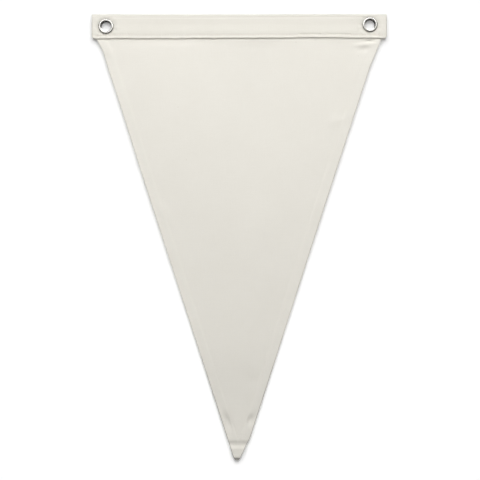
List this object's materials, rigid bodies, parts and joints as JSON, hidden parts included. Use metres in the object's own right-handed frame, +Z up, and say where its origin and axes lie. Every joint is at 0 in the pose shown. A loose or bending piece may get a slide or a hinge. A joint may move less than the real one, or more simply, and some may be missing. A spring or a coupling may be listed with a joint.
{
  "type": "pennant flag",
  "caption": "Hanging pennant flag of off-white canvas: a turned triangular panel under a folded heading strip with metal eyelets.",
  "frame": {"origin": "middle of the heading's top fold, on the mid-plane of the heading", "axes": "+Z up as it hangs, +X to the right of someone who looks at the face, which is towards -Y"},
  "size_m": [0.3, 0.0064, 0.4517],
  "materials": {
    "canvas": "natural unbleached cotton canvas, plain weave, matt",
    "nickel": "nickel plate over pressed brass, satin bright"
  },
  "bodies": {
    "root": {"pennant_panel": "canvas", "heading": "canvas", "eyelet_left": "nickel", "eyelet_right": "nickel", "washer_left": "nickel", "washer_right": "nickel"}
  },
  "joints": []
}
